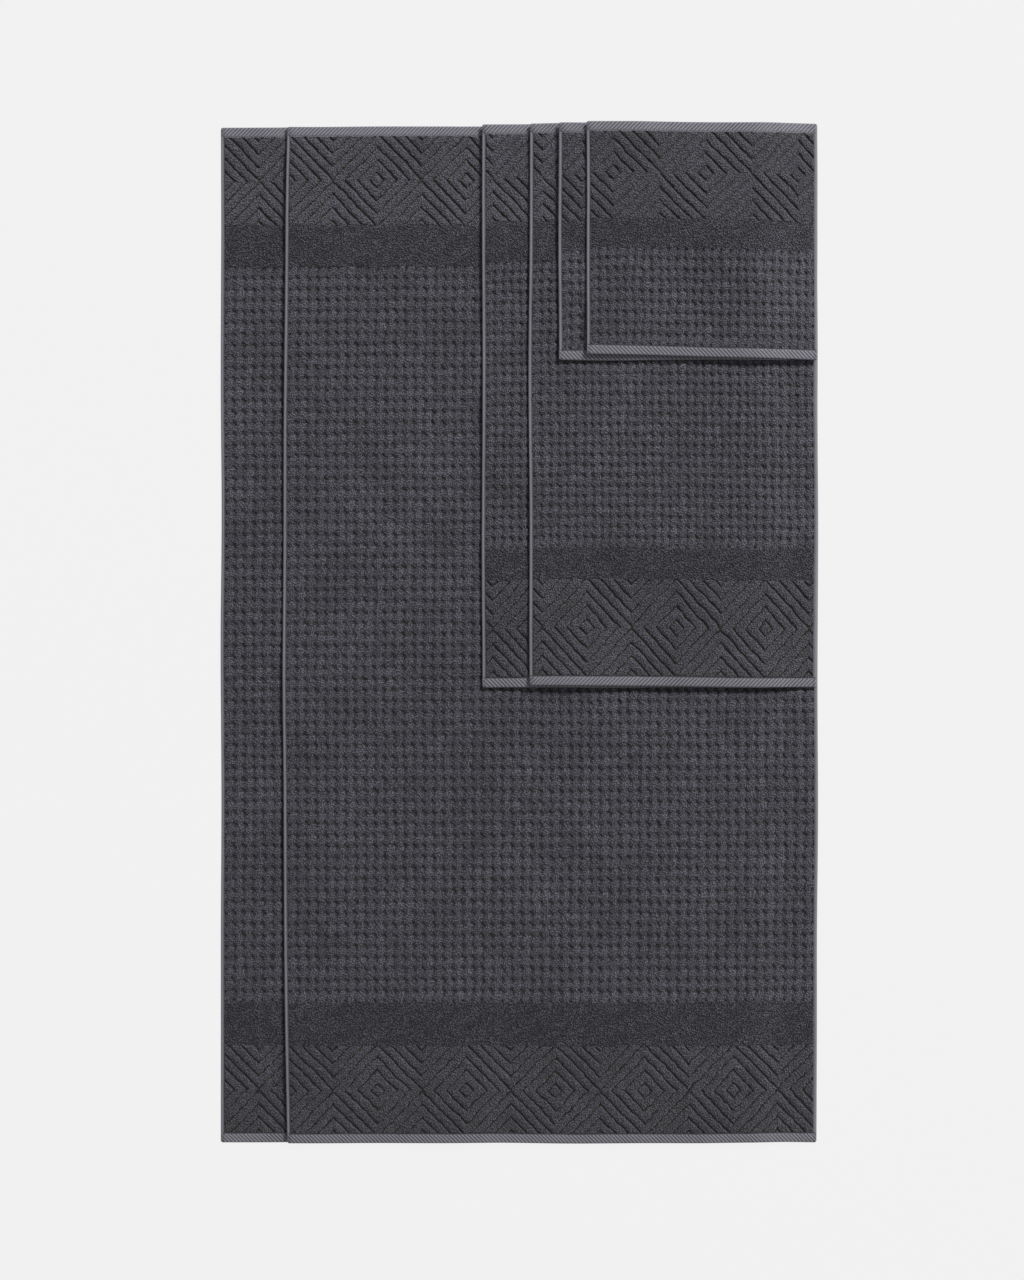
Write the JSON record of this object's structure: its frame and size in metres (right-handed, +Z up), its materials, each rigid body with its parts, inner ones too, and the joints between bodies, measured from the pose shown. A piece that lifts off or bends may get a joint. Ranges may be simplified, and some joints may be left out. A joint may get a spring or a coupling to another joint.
{
  "type": "bath towel set",
  "caption": "Flat-laid stack of terry towels in three sizes, with block-textured fields, woven diamond borders, plain bands and flat twill end hems.",
  "frame": {"origin": "middle of the stack's footprint, on the surface that it lies on", "axes": "+X across the towels, away from the edges that are fanned out; +Y along the towels, towards the end where all of them line up; +Z up through the stack"},
  "size_m": [0.804, 1.372, 0.0267],
  "materials": {
    "terry_field": "matte",
    "diamond_border": "matte",
    "plain_band": "matte",
    "twill_end_hem": "matte",
    "turned_side_hem": "matte",
    "sewing_thread": "satin"
  },
  "bodies": {
    "lower_bath_towel": {"lower_bath_diamond_border_bottom": "diamond_border", "lower_bath_diamond_border_top": "diamond_border", "lower_bath_end_hem_bottom": "twill_end_hem", "lower_bath_end_hem_top": "twill_end_hem", "lower_bath_field": "terry_field", "lower_bath_plain_band_bottom": "plain_band", "lower_bath_plain_band_top": "plain_band", "lower_bath_side_hem_left": "turned_side_hem", "lower_bath_side_hem_right": "turned_side_hem", "lower_bath_stitching": "sewing_thread"},
    "upper_bath_towel": {"upper_bath_diamond_border_bottom": "diamond_border", "upper_bath_diamond_border_top": "diamond_border", "upper_bath_end_hem_bottom": "twill_end_hem", "upper_bath_end_hem_top": "twill_end_hem", "upper_bath_field": "terry_field", "upper_bath_plain_band_bottom": "plain_band", "upper_bath_plain_band_top": "plain_band", "upper_bath_side_hem_left": "turned_side_hem", "upper_bath_side_hem_right": "turned_side_hem", "upper_bath_stitching": "sewing_thread"},
    "lower_hand_towel": {"lower_hand_diamond_border_bottom": "diamond_border", "lower_hand_diamond_border_top": "diamond_border", "lower_hand_end_hem_bottom": "twill_end_hem", "lower_hand_end_hem_top": "twill_end_hem", "lower_hand_field": "terry_field", "lower_hand_plain_band_bottom": "plain_band", "lower_hand_plain_band_top": "plain_band", "lower_hand_side_hem_left": "turned_side_hem", "lower_hand_side_hem_right": "turned_side_hem", "lower_hand_stitching": "sewing_thread"},
    "upper_hand_towel": {"upper_hand_diamond_border_bottom": "diamond_border", "upper_hand_diamond_border_top": "diamond_border", "upper_hand_end_hem_bottom": "twill_end_hem", "upper_hand_end_hem_top": "twill_end_hem", "upper_hand_field": "terry_field", "upper_hand_plain_band_bottom": "plain_band", "upper_hand_plain_band_top": "plain_band", "upper_hand_side_hem_left": "turned_side_hem", "upper_hand_side_hem_right": "turned_side_hem", "upper_hand_stitching": "sewing_thread"},
    "lower_washcloth": {"lower_wash_diamond_border": "diamond_border", "lower_wash_end_hem_bottom": "twill_end_hem", "lower_wash_end_hem_top": "twill_end_hem", "lower_wash_field": "terry_field", "lower_wash_plain_band": "plain_band", "lower_wash_side_hem_left": "turned_side_hem", "lower_wash_side_hem_right": "turned_side_hem", "lower_wash_stitching": "sewing_thread"},
    "upper_washcloth": {"upper_wash_diamond_border": "diamond_border", "upper_wash_end_hem_bottom": "twill_end_hem", "upper_wash_end_hem_top": "twill_end_hem", "upper_wash_field": "terry_field", "upper_wash_plain_band": "plain_band", "upper_wash_side_hem_left": "turned_side_hem", "upper_wash_side_hem_right": "turned_side_hem", "upper_wash_stitching": "sewing_thread"}
  },
  "joints": [
    {"name": "lift_upper_bath_towel", "type": "slide", "parent": "lower_bath_towel", "child": "upper_bath_towel", "axis": [0, 0, 1], "range_m": [0, 0.12]},
    {"name": "lift_lower_hand_towel", "type": "slide", "parent": "upper_bath_towel", "child": "lower_hand_towel", "axis": [0, 0, 1], "range_m": [0, 0.12]},
    {"name": "lift_upper_hand_towel", "type": "slide", "parent": "lower_hand_towel", "child": "upper_hand_towel", "axis": [0, 0, 1], "range_m": [0, 0.12]},
    {"name": "lift_lower_washcloth", "type": "slide", "parent": "upper_hand_towel", "child": "lower_washcloth", "axis": [0, 0, 1], "range_m": [0, 0.12]},
    {"name": "lift_upper_washcloth", "type": "slide", "parent": "lower_washcloth", "child": "upper_washcloth", "axis": [0, 0, 1], "range_m": [0, 0.12]}
  ]
}
